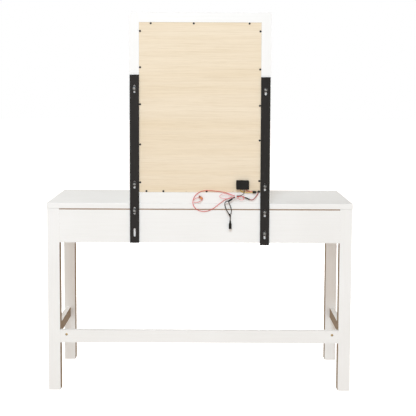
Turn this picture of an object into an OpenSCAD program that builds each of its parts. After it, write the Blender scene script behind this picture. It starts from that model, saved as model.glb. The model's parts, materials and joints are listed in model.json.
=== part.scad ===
// Vanity table with a lit standing mirror: four-leg desk, two drawers on telescopic
// slides, mirror held by two slotted steel bars, low-voltage lighting on its back.
// +Z is up, the front faces -Y, and the floor is Z = 0.

/* [Tabletop] */
// Width of the tabletop
top_w = 1200; // [1100:10:1400]
// Depth of the tabletop
top_d = 500; // [460:5:560]
// Thickness of the tabletop
top_t = 22; // [18:1:26]
// Height of the tabletop's upper face
table_h = 750; // [720:5:780]

/* [Frame] */
// Side of the square legs
leg_s = 48; // [44:1:54]
// Overhang of the tabletop past the legs at the sides and the front
leg_inset = 2; // [0:1:8]
// Height of the aprons
apron_h = 134; // [128:1:140]
// Thickness of the rear apron
apron_t = 18; // [15:1:20]
// Thickness of the side aprons
side_apron_t = 15; // [12:1:18]
// Height of the shadow groove above the rear apron
groove_h = 4; // [3:0.5:6]
// Depth of the shadow groove above the rear apron
groove_d = 6; // [3:0.5:8]
// Height of the floor glides
glide_h = 2; // [2:0.5:5]

/* [Stretchers] */
// Height of the rear stretcher
stretcher_h = 50; // [40:1:60]
// Height of the side stretchers
side_stretcher_h = 42; // [36:1:50]
// Thickness of all stretchers
stretcher_t = 22; // [18:1:25]
// Lower edge of the stretchers above the floor
stretcher_z = 194; // [150:1:260]
// Inset of the side stretchers from the legs' outer faces
stretcher_inset = 6; // [4:1:20]

/* [Drawers] */
// Gap around each drawer front
front_gap = 2; // [1.5:0.5:3]
// Thickness of the drawer fronts
front_t = 18; // [15:1:20]
// Thickness of the drawer sides and backs
box_t = 12; // [10:1:15]
// Height of the drawer sides
box_h = 74; // [60:1:80]
// Length of the drawer boxes and slides
box_l = 400; // [350:5:400]
// Diameter of the drawer knobs
knob_d = 30; // [24:1:36]
// Projection of the knobs from the drawer fronts
knob_l = 20; // [16:1:22]

/* [Mirror] */
// Outer width of the mirror frame
mirror_w = 549; // [545:1:560]
// Outer height of the mirror frame
mirror_h = 740; // [720:5:800]
// Depth of the mirror frame
mirror_d = 22; // [20:1:26]
// Width of the frame at the front
face_w = 65; // [60:1:70]
// Width of the stiles and the top rail at the back
back_w = 38; // [36:1:40]
// Height of the bottom rail at the back
back_foot = 43.5; // [40:0.5:48]
// Thickness of the backing panel
panel_t = 3; // [3:0.5:4]
// Thickness of the mirror glass
glass_t = 4; // [3:0.5:4]
// Diameter of the globe lamps
globe_d = 44; // [36:1:46]

/* [Support bars] */
// Length of a support bar
bar_l = 657; // [640:1:660]
// Width of a support bar
bar_w = 36; // [30:1:38]
// Thickness of a support bar
bar_t = 5; // [3:0.5:6]
// Height of the upper end of the right bar
bar_top = 1250.5; // [1240:0.5:1255]
// How much lower the left bar is fixed
bar_drop = 8; // [0:1:8]
// Length of the lowest slot in a bar
slot_l = 34; // [30:1:36]
// Length of the other slots
short_slot_l = 30; // [20:1:34]
// Width of the bars' slots
slot_w = 8; // [7:0.5:9]

/* [Hidden] */
$fn = 48;
eps = 0.01;

// Frame planes
rear_y = top_d / 2;
front_y = -top_d / 2 + leg_inset;
top_z = table_h - top_t;
leg_out = top_w / 2 - leg_inset;
leg_in = leg_out - leg_s;
apron_z = top_z - apron_h;
front_leg_back = front_y + leg_s;
rear_leg_front = rear_y - leg_s;
side_apron_out = leg_out - 8;
side_apron_in = side_apron_out - side_apron_t;

// Front frame
rail_h = 18;
rail_d = 40;
rail_front = front_y + 2;
rail_back = rail_front + rail_d;
divider_t = 18;

// Fasteners of the frame
bolt_d = 6;
bolt_head_d = 15;
bolt_head_h = 3;
bolt_reach = 82;
nut_d = 10;
nut_l = 14;
nut_from_leg = 25;
stretcher_bolt_z = stretcher_z + 33;
apron_bolt_z = [apron_z + 34, apron_z + 100];

// Drawers
box_z = apron_z + rail_h + 4;
groove_z = box_z + 6;
bottom_t = 6;
bottom_groove = 5;
slide_t = 12.7;
slide_z = box_z + 39;
front_x0 = divider_t / 2 + front_gap;
front_x1 = leg_in - front_gap;
front_z0 = apron_z + rail_h + front_gap;
front_z1 = top_z - rail_h - front_gap;
box_y0 = rail_front + front_t;
box_x0 = divider_t / 2 + slide_t;
box_x1 = leg_in - slide_t;
knob_x = (front_x0 + front_x1) / 2;
knob_z = (front_z0 + front_z1) / 2;
knob_screw_d = 4;

// Mirror: depth of the four steps of the frame's section, from the front
mirror_y = rear_y - mirror_d;
lip_d = 6;
seat_y = mirror_y + lip_d;
ledge_y = seat_y + glass_t + 0.2;
panel_y = rear_y - panel_t;
seat_in = 8;
ledge_w = 10.5;
mirror_top = table_h + mirror_h;
panel_x = mirror_w / 2 - back_w;
panel_z0 = table_h + back_foot;
panel_z1 = mirror_top - back_w;
open_x = mirror_w / 2 - face_w;
open_z0 = table_h + face_w;
open_z1 = mirror_top - face_w;

// Lamps along the stiles and the top rail
lamp_edge = 32.5;
lamp_x = mirror_w / 2 - lamp_edge;
lamp_step = 170;
lamp_z = [for (i = [0:3]) mirror_top - lamp_edge - i * lamp_step];
lamp_top_x = 81;
lamp_hole_d = 22;
lamp_hole_l = 14;
wire_way_d = 4;
wire_way_y = 2.5;
wire_way_l = 26;
corner_way_tilt = 47;

// Screws that hold the backing panel, and two empty holes
screw_edge = 4.2;
screws_right_z = [832, 980, 1136, 1279, 1418];
screws_left_z = [839, 997, 1132, 1272, 1418];
screws_top_x = [-190, 25, 191];
screws_bottom_x = [-27, 142, 208];
empty_bottom_x = [-130, 53];
panel_screw_d = 3;
empty_hole_d = 2.4;
panel_head_d = 8;

// Support bars, their slots and their screws
bar_x = 254.5;
bar_slots = [[55, short_slot_l], [428, short_slot_l], [530, short_slot_l], [615.5, slot_l]];
bar_screw_d = 5;
bar_screw_l = 14;
bar_head_d = 11;
washer_t = 1.2;
washer_d = 18;
screws_right_bar = [1197, 826, 721];
screws_left_bar = [1194, 819, 717, 633];

// Controller box
ctrl_w = 50;
ctrl_h = 36;
ctrl_d = 16;
ctrl_x = -167;
ctrl_z = 824;
ctrl_wall = 2;
lid_t = 3.5;
wire_slots_x = [-158, -174, -180];

// Rubber bush where the wiring enters the frame, and the connector beside it
grommet_x = -231;
grommet_z = 797.5;
grommet_d = 6;
grommet_reach = 6;
connector_x = -213;
connector_z = 795.5;
connector_w = 13;
connector_h = 9.5;
connector_d = 7.5;

// Wires
wire_d = 2.4;
bundle_d = 3.4;
lead_d = 4;
lead_thin_d = 3.4;
thin_d = 2;
tie_x = -141;
tie_y = 257;
tie_z = 778;
loop_route = [
    [-140.9, 257, 780], [-128, 256.5, 784], [-117, 255, 787.5], [-102, 254, 792.5],
    [-84, 253.5, 796], [-61, 253.5, 799], [-31, 253.5, 801], [-8, 253.5, 798],
    [10, 253.5, 788], [22, 253.5, 774], [26.5, 253.5, 757], [24, 253.5, 741],
    [13, 253.5, 728], [-3, 253.5, 720.5], [-20, 253.5, 719], [-38, 253.5, 723],
    [-57, 253.5, 733], [-76, 253.5, 748], [-92, 253.5, 760.5], [-107, 254, 769],
    [-122, 255, 774], [-140.9, 256, 777]
];
curl_route = [
    [24, 256.2, 765.5], [9, 256.5, 773], [-4, 256.5, 776.5], [-12, 256.5, 770],
    [-6, 256.5, 761.5], [6, 256.5, 755.5], [24, 256.2, 754.5]
];
small_loop_route = [
    [-140.9, 258.6, 774.5], [-122, 260, 771.5], [-100, 260, 770.5], [-84, 260, 772.5],
    [-78, 260, 779], [-84, 260, 786.5], [-100, 260, 789], [-120, 260, 785.5],
    [-140.9, 260, 779.5]
];
lead_black_route = [
    [-140.9, 262, 776.5], [-133, 263, 773.5], [-124, 263.5, 768], [-114, 263.5, 761],
    [-104, 263.5, 759.5], [-98.5, 263, 752.5], [-99, 263, 741], [-104.5, 262.5, 727],
    [-112, 262, 714], [-118.5, 261, 704], [-119.5, 260, 694], [-119.5, 260, 685]
];
lead_thin_route = [
    [-115.5, 259.4, 763.5], [-113.5, 259.4, 756], [-118, 259, 745], [-122.5, 258.5, 732],
    [-124, 258.5, 719], [-121.5, 258.3, 708]
];
bundle_route = [
    [-141.1, 257, 777], [-152, 257, 779], [-163, 257, 780], [-172, 257, 776.5],
    [-184, 257, 771.5], [-197, 257, 766.5], [-207, 257, 766], [-216, 257, 774],
    [-224, 257, 785], [-228.8, 256.5, 793]
];
black_route = [
    [-174, 258.5, 808], [-173, 260, 797], [-170, 261, 789], [-162, 261.5, 783.5],
    [-141.1, 261, 780.5]
];
yellow_route = [
    [-158, 256, 808], [-160, 255.5, 800.5], [-169, 255.5, 796], [-183, 255.5, 793.5],
    [-196, 255.5, 793], [-206.5, 255.5, 793]
];
red_route = [
    [-179, 256, 808], [-184, 255.5, 801], [-195, 255.5, 798], [-206.5, 255.5, 798]
];
socket_top = 685;
socket_l = 34;

function unit(v) = v / norm(v);
function along(p, i) = unit(p[min(i + 1, len(p) - 1)] - p[max(i - 1, 0)]);
function across(t) = unit([0, 1, 0] - t[1] * t);

// A round cord swept along a route of points, with flat ends
module cord_tube(route, d, sides = 8) {
    n = len(route);
    points = [
        for (i = [0:n - 1])
            let (t = along(route, i), u = across(t), v = cross(t, u))
                for (j = [0:sides - 1])
                    let (a = 360 * j / sides)
                        route[i] + d / 2 * (cos(a) * u + sin(a) * v)
    ];
    walls = [
        for (i = [0:n - 2], j = [0:sides - 1])
            let (k = (j + 1) % sides)
                [i * sides + j, (i + 1) * sides + j, (i + 1) * sides + k, i * sides + k]
    ];
    first = [for (j = [0:sides - 1]) j];
    last = [for (j = [sides - 1:-1:0]) (n - 1) * sides + j];
    polyhedron(points, concat(walls, [first, last]), convexity = 6);
}

// A box between two corners
module block(a, b) {
    translate(a) cube(b - a);
}

// The same shape on both sides of the YZ plane
module both_sides() {
    children();
    mirror([1, 0, 0]) children();
}

// A cylinder along Y that starts at y and runs towards the rear
module rod_y(x, y, z, d, l) {
    translate([x, y, z]) rotate([-90, 0, 0]) cylinder(d = d, h = l);
}

// A cylinder along X that starts at x
module rod_x(x, y, z, d, l) {
    translate([x, y, z]) rotate([0, 90, 0]) cylinder(d = d, h = l);
}

// Frame -------------------------------------------------------------------

module tabletop() {
    color("white")
        translate([0, 0, top_z]) linear_extrude(top_t)
            square([top_w, top_d], center = true);
}

// One leg: side is 1 on the right, y0 is its front face
module leg(side, y0) {
    color("white") difference() {
        block([side > 0 ? leg_in : -leg_out, y0, glide_h],
              [side > 0 ? leg_out : -leg_in, y0 + leg_s, top_z]);
        if (y0 > 0) rear_joint_bores(side);
    }
}

// Bores for the bolts that run from a rear leg into the stretcher and the apron
module rear_joint_bores(side) {
    bolt_z = concat([stretcher_bolt_z], apron_bolt_z);
    bolt_y = [rear_y - stretcher_t / 2, rear_y - apron_t / 2, rear_y - apron_t / 2];
    x0 = side > 0 ? leg_out - bolt_reach : -leg_out;
    x1 = side > 0 ? leg_out - bolt_head_h : -leg_out;
    for (i = [0:2]) {
        rod_x(x0 - eps, bolt_y[i], bolt_z[i], bolt_d + 0.4, bolt_reach + 2 * eps);
        rod_x(x1 - eps, bolt_y[i], bolt_z[i], bolt_head_d + 0.4, bolt_head_h + 2 * eps);
    }
}

module foot_glides() {
    color("dimgray") for (x = [leg_in, -leg_out], y = [front_y, rear_leg_front])
        translate([x + leg_s / 2, y + leg_s / 2, 0])
            rotate_extrude() polygon([[0, 0], [12, 0], [14, glide_h], [0, glide_h]]);
}

module rear_apron() {
    color("white") difference() {
        block([-leg_in, rear_y - apron_t, apron_z], [leg_in, rear_y, top_z]);
        block([-leg_in - 1, rear_y - groove_d, top_z - groove_h],
              [leg_in + 1, rear_y + 1, top_z + 1]);
        for (side = [-1, 1]) rear_joint_bores(side);
        both_sides() for (z = apron_bolt_z)
            rod_y(leg_in - nut_from_leg, rear_y - apron_t - 1, z, nut_d, nut_l + 1.2);
        for (p = bar_screw_places()) if (p[1] < top_z)
            rod_y(p[0], rear_y - bar_screw_l, p[1], bar_screw_d, bar_screw_l + 1);
    }
}

module side_aprons() {
    color("white") both_sides()
        block([side_apron_in, front_leg_back, apron_z],
              [side_apron_out, rear_leg_front, top_z]);
}

module slide_battens() {
    color("burlywood") both_sides()
        block([leg_in, front_leg_back, slide_z - 25],
              [side_apron_in, rear_leg_front, slide_z + 25]);
}

module front_top_rail() {
    color("white")
        block([-leg_in, rail_front, top_z - rail_h], [leg_in, rail_back, top_z]);
}

module front_bottom_rail() {
    color("white")
        block([-leg_in, rail_front, apron_z], [leg_in, rail_back, apron_z + rail_h]);
}

module centre_divider() {
    color("white") union() {
        block([-divider_t / 2, rail_back, apron_z],
              [divider_t / 2, rear_y - apron_t, top_z]);
        block([-divider_t / 2, rail_front, apron_z + rail_h],
              [divider_t / 2, rail_back + eps, top_z - rail_h]);
    }
}

module rear_stretcher() {
    color("white") difference() {
        block([-leg_in, rear_y - stretcher_t, stretcher_z],
              [leg_in, rear_y, stretcher_z + stretcher_h]);
        for (side = [-1, 1]) rear_joint_bores(side);
        both_sides()
            rod_y(leg_in - nut_from_leg, rear_y - 18, stretcher_bolt_z, nut_d, 20);
    }
}

module side_stretchers() {
    color("white") both_sides()
        block([leg_out - stretcher_inset - stretcher_t, front_leg_back, stretcher_z],
              [leg_out - stretcher_inset, rear_leg_front, stretcher_z + side_stretcher_h]);
}

// One frame bolt: flat head in the leg's outer face, shank into its barrel nut
module frame_bolt(y, z) {
    difference() {
        union() {
            rod_x(leg_out - bolt_head_h, y, z, bolt_head_d, bolt_head_h);
            rod_x(leg_in - nut_from_leg, y, z, bolt_d, bolt_head_h + leg_s + nut_from_leg - 5);
        }
        rod_x_hex(leg_out - 2, y, z, 5, 3);
    }
}

// A hexagonal socket along X
module rod_x_hex(x, y, z, across_flats, l) {
    translate([x, y, z]) rotate([0, 90, 0]) cylinder(d = across_flats / cos(30), h = l, $fn = 6);
}

module frame_bolts() {
    color("silver") both_sides() {
        frame_bolt(rear_y - stretcher_t / 2, stretcher_bolt_z);
        for (z = apron_bolt_z) frame_bolt(rear_y - apron_t / 2, z);
    }
}

// One barrel nut: a steel cylinder across the bolt, slotted at its open end
module barrel_nut(y, z, l, slot_end) {
    difference() {
        rod_y(leg_in - nut_from_leg, y, z, nut_d - 0.4, l);
        rod_x(leg_in - nut_from_leg - 1, y + l / 2, z, bolt_d + 0.02, 20);
        block([leg_in - nut_from_leg - 3.5, slot_end - 1, z - 0.6],
              [leg_in - nut_from_leg + 3.5, slot_end + 1, z + 0.6]);
    }
}

module barrel_nuts() {
    stretcher_nut_y = rear_y - stretcher_t / 2 - nut_l / 2;
    apron_nut_y = rear_y - apron_t / 2 - nut_l / 2;
    color("darkgoldenrod") both_sides() {
        barrel_nut(stretcher_nut_y, stretcher_bolt_z, nut_l, stretcher_nut_y + nut_l);
        for (z = apron_bolt_z)
            barrel_nut(apron_nut_y + 2, z, nut_l - 4, apron_nut_y + 2);
    }
}

// Steel angle brackets under the tabletop, on the side aprons
module corner_brackets() {
    leg_l = 30;
    steel = 2;
    wide = 20;
    color("silver") both_sides() for (y = [-130, 0, 130])
        translate([side_apron_in, y - wide / 2, top_z]) difference() {
            rotate([-90, 0, 0]) linear_extrude(wide)
                polygon([[0, 0], [-leg_l, 0], [-leg_l, steel], [-steel, steel],
                         [-steel, leg_l], [0, leg_l]]);
            translate([-leg_l * 0.6, wide / 2, -steel - 1]) cylinder(d = 4.5, h = steel + 2);
            translate([-steel - 1, wide / 2, -leg_l * 0.6]) rotate([0, 90, 0])
                cylinder(d = 4.5, h = steel + 2);
        }
}

// Slides ------------------------------------------------------------------

// Section of a slide member: web at x0, flanges to x1, half height h
module slide_channel(x0, x1, h, wall, y0, l) {
    web = x0 < x1 ? wall : -wall;
    translate([0, y0 + l, slide_z]) rotate([90, 0, 0]) linear_extrude(l)
        polygon([[x0, -h], [x1, -h], [x1, -h + wall], [x0 + web, -h + wall],
                 [x0 + web, h - wall], [x1, h - wall], [x1, h], [x0, h]]);
}

// A slide member on both sides of one drawer, on the right: the x values count
// from the face that carries the slide
module slide_pair(x0, x1, h, wall, y0, l) {
    inner = divider_t / 2;
    slide_channel(inner + x0, inner + x1, h, wall, y0, l);
    slide_channel(leg_in - x0, leg_in - x1, h, wall, y0, l);
}

module slide_cabinet_rails() {
    color("lightsteelblue") both_sides()
        slide_pair(0, 10, 17.5, 1.2, box_y0 + 2, box_l);
}

module slide_mid_rails_right() {
    color("silver") slide_pair(2, 10.5, 13.5, 1.2, box_y0 + 4, box_l - 4);
}

module slide_mid_rails_left() {
    mirror([1, 0, 0]) slide_mid_rails_right();
}

module slide_drawer_rails_right() {
    color("gainsboro") slide_pair(slide_t, 4.5, 10, 1.2, box_y0, box_l);
}

module slide_drawer_rails_left() {
    mirror([1, 0, 0]) slide_drawer_rails_right();
}

// Drawers -----------------------------------------------------------------

module drawer_front_right() {
    color("white") difference() {
        block([front_x0, rail_front, front_z0], [front_x1, box_y0, front_z1]);
        block([box_x0 + box_t - bottom_groove, box_y0 - bottom_groove, groove_z],
              [box_x1 - box_t + bottom_groove, box_y0 + 1, groove_z + bottom_t]);
        rod_y(knob_x, rail_front - 1, knob_z, knob_screw_d + 0.4, front_t + 2);
    }
}

module drawer_front_left() {
    mirror([1, 0, 0]) drawer_front_right();
}

// Two sides and a back, as three boards
module drawer_box_right() {
    color("wheat") {
        for (x = [box_x0, box_x1 - box_t]) difference() {
            block([x, box_y0, box_z], [x + box_t, box_y0 + box_l, box_z + box_h]);
            block([box_x0 + box_t - bottom_groove, box_y0 - 1, groove_z],
                  [box_x1 - box_t + bottom_groove, box_y0 + box_l + 1, groove_z + bottom_t]);
        }
        block([box_x0 + box_t, box_y0 + box_l - box_t, groove_z + bottom_t],
              [box_x1 - box_t, box_y0 + box_l, box_z + box_h]);
    }
}

module drawer_box_left() {
    mirror([1, 0, 0]) drawer_box_right();
}

module drawer_bottom_right() {
    color("tan")
        block([box_x0 + box_t - bottom_groove, box_y0 - bottom_groove, groove_z],
              [box_x1 - box_t + bottom_groove, box_y0 + box_l, groove_z + bottom_t]);
}

module drawer_bottom_left() {
    mirror([1, 0, 0]) drawer_bottom_right();
}

// Turned knob with a short neck and the screw that holds it from inside
module drawer_knob_right() {
    r = knob_d / 2;
    color("silver") translate([knob_x, rail_front, knob_z]) rotate([90, 0, 0]) {
        rotate_extrude() polygon([
            [0, 0], [r * 0.55, 0], [r * 0.5, 1.5], [r * 0.36, 4], [r * 0.36, 7],
            [r * 0.7, 10], [r * 0.96, 12.5], [r, 14.5], [r * 0.97, 17],
            [r * 0.85, knob_l - 0.8], [r * 0.7, knob_l], [0, knob_l]
        ]);
        translate([0, 0, -front_t]) cylinder(d = knob_screw_d, h = front_t + eps);
        translate([0, 0, -front_t - 2.4]) cylinder(d = 9, h = 2.4);
    }
}

module drawer_knob_left() {
    mirror([1, 0, 0]) drawer_knob_right();
}

// Mirror ------------------------------------------------------------------

// A stile: full height, with the four steps of the frame's section
module mirror_stile(side) {
    out = mirror_w / 2;
    screws = side > 0 ? screws_right_z : screws_left_z;
    bar_screws = [for (z = side > 0 ? screws_right_bar : screws_left_bar)
                  if (z > table_h) z];
    color("white") mirror([side > 0 ? 0 : 1, 0, 0]) difference() {
        translate([0, 0, table_h]) linear_extrude(mirror_h) polygon([
            [out, mirror_y], [open_x, mirror_y], [open_x, seat_y],
            [open_x + seat_in, seat_y], [open_x + seat_in, ledge_y],
            [panel_x - ledge_w, ledge_y], [panel_x - ledge_w, panel_y],
            [panel_x, panel_y], [panel_x, rear_y], [out, rear_y]
        ]);
        for (z = lamp_z) {
            rod_y(lamp_x, mirror_y - 1, z, lamp_hole_d, lamp_hole_l + 1);
            wire_way(lamp_x, z, z < lamp_z[0] ? 0 : corner_way_tilt);
        }
        for (z = screws) panel_screw_bore(panel_x - screw_edge, z);
        if (side < 0) {
            rod_y(-grommet_x, panel_y - grommet_reach, grommet_z, grommet_d, 2 * grommet_reach);
            wire_way(-grommet_x, grommet_z, 0);
        }
        for (z = bar_screws)
            rod_y(bar_x, rear_y - bar_screw_l, z, bar_screw_d, bar_screw_l + 1);
    }
}

// Passage for wires from a hole in the frame into the space behind the glass
module wire_way(x, z, tilt) {
    translate([x, ledge_y + wire_way_y, z]) rotate([0, -90 - tilt, 0])
        cylinder(d = wire_way_d, h = wire_way_l);
}

// Hole that a panel screw sits in
module panel_screw_bore(x, z) {
    rod_y(x, rear_y - 12, z, panel_screw_d, 13);
}

module mirror_stile_right() {
    mirror_stile(1);
}

module mirror_stile_left() {
    mirror_stile(-1);
}

// A rail between the stiles: z0 is its outer edge and up is 1 for the bottom rail
module mirror_rail(z0, back, up) {
    lips = [[open_x, mirror_y, seat_y, face_w],
            [open_x + seat_in, seat_y, ledge_y, face_w - seat_in],
            [panel_x - ledge_w, ledge_y, panel_y, back + ledge_w],
            [panel_x, panel_y, rear_y, back]];
    for (s = lips)
        block([-s[0], s[1], min(z0, z0 + up * s[3])],
              [s[0], s[2], max(z0, z0 + up * s[3])]);
}

module mirror_top_rail() {
    color("white") difference() {
        mirror_rail(mirror_top, back_w, -1);
        both_sides() {
            rod_y(lamp_top_x, mirror_y - 1, lamp_z[0], lamp_hole_d, lamp_hole_l + 1);
            wire_way(lamp_top_x, lamp_z[0], 90);
        }
        for (x = screws_top_x) panel_screw_bore(x, panel_z1 - screw_edge);
    }
}

module mirror_bottom_rail() {
    color("white") difference() {
        mirror_rail(table_h, back_foot, 1);
        for (x = screws_bottom_x) panel_screw_bore(x, panel_z0 + screw_edge);
    }
}

module mirror_glass() {
    gap = 0.5;
    color("lightblue")
        block([-open_x - seat_in + gap, seat_y, open_z0 - seat_in + gap],
              [open_x + seat_in - gap, seat_y + glass_t, open_z1 + seat_in - gap]);
}

// Thin steel tabs that keep the glass in its seat
module glass_clips() {
    tab = [14, 1, 10];
    z_low = panel_z0 + ledge_w + 1;
    z_mid = (open_z0 + open_z1) / 2;
    color("silver") {
        both_sides() for (z = [z_mid - 200, z_mid, z_mid + 200])
            block([open_x + 1, ledge_y, z - tab[2] / 2],
                  [open_x + 1 + tab[0], ledge_y + tab[1], z + tab[2] / 2]);
        both_sides()
            block([120, ledge_y, z_low], [120 + tab[2], ledge_y + tab[1], z_low + tab[0]]);
        both_sides()
            block([120, ledge_y, open_z1], [120 + tab[2], ledge_y + tab[1], open_z1 + tab[0]]);
    }
}

// Positions of every screw in the backing panel
function panel_screw_places() = concat(
    [for (z = screws_right_z) [panel_x - screw_edge, z]],
    [for (z = screws_left_z) [screw_edge - panel_x, z]],
    [for (x = screws_top_x) [x, panel_z1 - screw_edge]],
    [for (x = screws_bottom_x) [x, panel_z0 + screw_edge]]
);

module backing_panel() {
    gap = 0.3;
    color("bisque") difference() {
        block([gap - panel_x, panel_y, panel_z0 + gap],
              [panel_x - gap, rear_y, panel_z1 - gap]);
        for (p = panel_screw_places())
            rod_y(p[0], panel_y - 1, p[1], panel_screw_d, panel_t + 2);
        for (x = empty_bottom_x)
            rod_y(x, panel_y - 1, panel_z0 + screw_edge, empty_hole_d, panel_t + 2);
        rod_y(grommet_x, panel_y - 1, grommet_z, grommet_d, panel_t + 2);
    }
}

// A low round head with a cross recess, and a plain shank
module pan_screw(x, y, z, head_d, head_h, shank_d, shank_l) {
    translate([x, y, z]) rotate([-90, 0, 0]) {
        translate([0, 0, -shank_l]) cylinder(d = shank_d, h = shank_l + eps);
        difference() {
            rotate_extrude() polygon([[0, 0], [head_d / 2, 0], [head_d / 2, head_h * 0.45],
                                      [head_d * 0.36, head_h * 0.85], [head_d * 0.2, head_h],
                                      [0, head_h]]);
            for (a = [0, 90]) rotate([0, 0, a])
                translate([-head_d * 0.26, -head_d * 0.05, head_h * 0.5])
                    cube([head_d * 0.52, head_d * 0.1, head_h]);
        }
    }
}

module panel_screws() {
    color("black") for (p = panel_screw_places())
        pan_screw(p[0], rear_y, p[1], panel_head_d, 1.8, panel_screw_d - 0.2, 11);
}

// Where the lamps sit on the frame's front
function lamp_places() = concat(
    [for (s = [-1, 1], z = lamp_z) [s * lamp_x, z]],
    [for (s = [-1, 1]) [s * lamp_top_x, lamp_z[0]]]
);

module lamp_sockets() {
    color("whitesmoke") for (p = lamp_places())
        translate([p[0], mirror_y, p[1]]) rotate([90, 0, 0]) rotate_extrude() polygon([
            [0, -12], [10.8, -12], [10.8, 0], [15, 0], [15, 2.4], [13.4, 4], [11, 4],
            [11, 7], [0, 7]
        ]);
}

module lamp_globes() {
    neck_r = 11;
    r = globe_d / 2;
    sphere_y = 7 + sqrt(r * r - neck_r * neck_r);
    color("ivory") for (p = lamp_places())
        translate([p[0], mirror_y, p[1]]) rotate([90, 0, 0]) rotate_extrude()
            intersection() {
                translate([0, sphere_y]) circle(r = r);
                translate([0, 7]) square([r, globe_d]);
            }
}

// Support bars ------------------------------------------------------------

// A flat slotted bar; top is the height of its upper end
module support_bar(x, top) {
    color("black") difference() {
        translate([x, rear_y + bar_t, top - bar_l]) rotate([90, 0, 0])
            linear_extrude(bar_t) translate([-bar_w / 2, 0]) square([bar_w, bar_l]);
        for (s = bar_slots) slot_bore(x, top - s[0], s[1]);
    }
}

// A slot of length l round the height z
module slot_bore(x, z, l) {
    h = (l - slot_w) / 2;
    for (s = [-1, 1]) rod_y(x, rear_y - 1, z + s * h, slot_w, bar_t + 2);
    block([x - slot_w / 2, rear_y - 1, z - h], [x + slot_w / 2, rear_y + bar_t + 1, z + h]);
}

module support_bar_right() {
    support_bar(bar_x, bar_top);
}

module support_bar_left() {
    support_bar(-bar_x, bar_top - bar_drop);
}

// Positions of the screws in both bars
function bar_screw_places() = concat(
    [for (z = screws_right_bar) [bar_x, z]],
    [for (z = screws_left_bar) [-bar_x, z]]
);

module bar_screws() {
    color("dimgray") for (p = bar_screw_places())
        pan_screw(p[0], rear_y + bar_t + washer_t, p[1], bar_head_d, 3.2,
                  bar_screw_d - 0.2, bar_t + washer_t + bar_screw_l - 1);
}

module bar_washers() {
    color("dimgray") for (p = bar_screw_places()) difference() {
        rod_y(p[0], rear_y + bar_t, p[1], washer_d, washer_t);
        rod_y(p[0], rear_y + bar_t - 1, p[1], bar_screw_d + 0.4, washer_t + 2);
    }
}

// Lighting controller -----------------------------------------------------

// Rounded rectangle of the controller's outline, reduced by inset
module ctrl_outline(inset) {
    r = max(4 - inset, 1);
    hull() for (sx = [-1, 1], sz = [-1, 1])
        translate([sx * (ctrl_w / 2 - inset - r), sz * (ctrl_h / 2 - inset - r)])
            circle(r = r, $fn = 32);
}

// A slab of the controller's outline that starts at depth y
module ctrl_slab(inset, y, l) {
    translate([ctrl_x, rear_y + y + l, ctrl_z]) rotate([90, 0, 0])
        linear_extrude(l) ctrl_outline(inset);
}

module controller_base() {
    color("black") difference() {
        ctrl_slab(0, 0, ctrl_d - lid_t);
        ctrl_slab(ctrl_wall, 1.5, ctrl_d);
        for (x = wire_slots_x)
            block([x - 2.5, rear_y + 3, ctrl_z - ctrl_h / 2 - 1],
                  [x + 2.5, rear_y + ctrl_d, ctrl_z - ctrl_h / 2 + ctrl_wall + 1]);
    }
}

module controller_board() {
    color("green")
        block([ctrl_x - 18, rear_y + 3, ctrl_z - 12], [ctrl_x + 18, rear_y + 4.6, ctrl_z + 12]);
}

module controller_lid() {
    color("black") union() {
        ctrl_slab(0, ctrl_d - lid_t, lid_t - 1);
        ctrl_slab(4, ctrl_d - lid_t, lid_t);
        difference() {
            ctrl_slab(ctrl_wall + 0.2, ctrl_d - lid_t - 2, 2);
            ctrl_slab(ctrl_wall + 1.4, ctrl_d - lid_t - 3, 4);
        }
    }
}

// Wires and what is on them -----------------------------------------------

// Plastic band round the wires, with its head and trimmed tail
module cable_tie() {
    color("ghostwhite") translate([tie_x, tie_y + 2, tie_z]) {
        rotate([0, 90, 0]) difference() {
            cylinder(d = 15, h = 5, center = true);
            cylinder(d = 12.6, h = 6, center = true);
        }
        translate([-3, -2.5, -10]) cube([6, 5, 3.2]);
        translate([-1.5, -1, -15]) cube([3, 1.2, 5 + eps]);
    }
}

// Two-part plug connector and the rubber bush in the frame's corner
module wire_connectors() {
    y0 = rear_y + 1.5;
    x0 = connector_x - connector_w / 2;
    x1 = connector_x + connector_w / 2;
    z0 = connector_z - connector_h / 2;
    z1 = connector_z + connector_h / 2;
    color("black") {
        block([x0, y0 + 0.6, z0 + 0.6], [connector_x, y0 + connector_d - 0.6, z1 - 0.6]);
        block([connector_x, y0, z0], [x1, y0 + connector_d, z1]);
        sleeve([x0 + 1, y0 + connector_d / 2, connector_z],
               [grommet_x + 1, rear_y + 4, grommet_z], wire_d);
        difference() {
            union() {
                rod_y(grommet_x, rear_y - panel_t, grommet_z, grommet_d - 0.2, panel_t + 1);
                rod_y(grommet_x, rear_y, grommet_z, grommet_d + 3, 4);
            }
            rod_y(grommet_x, rear_y - panel_t - 1, grommet_z, grommet_d - 3, panel_t + 6);
        }
    }
}

// A round sleeve from point a to point b
module sleeve(a, b, d) {
    run = b - a;
    l = norm(run);
    translate(a) rotate([0, acos(run[2] / l), atan2(run[1], run[0])]) cylinder(d = d, h = l);
}

// Shrink sleeves: on the bundle, where the lead splits and where it joins again
module wire_sleeves() {
    color("black") {
        sleeve([-176, 257, 774.8], [-195, 257, 767.3], 5);
        sleeve([-126, 263.4, 769.3], [-112.5, 263.2, 760.4], 6.5);
        sleeve([-115.5, 261.2, 709.5], [-120.5, 260, 700], 7);
    }
}

module dc_socket() {
    color("black") translate([-119.5, 260, socket_top]) mirror([0, 0, 1]) difference() {
        rotate_extrude() polygon([
            [0, 0], [2.6, 0], [3.2, 4], [3.6, 11], [5.2, 13], [5.5, 14], [5.5, socket_l], [0, socket_l]
        ]);
        translate([0, 0, socket_l - 9]) difference() {
            cylinder(d = 5.6, h = 10);
            translate([0, 0, -1]) cylinder(d = 2, h = 9);
        }
    }
}

module wire_loop() {
    color("crimson") cord_tube(loop_route, wire_d);
}

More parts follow.
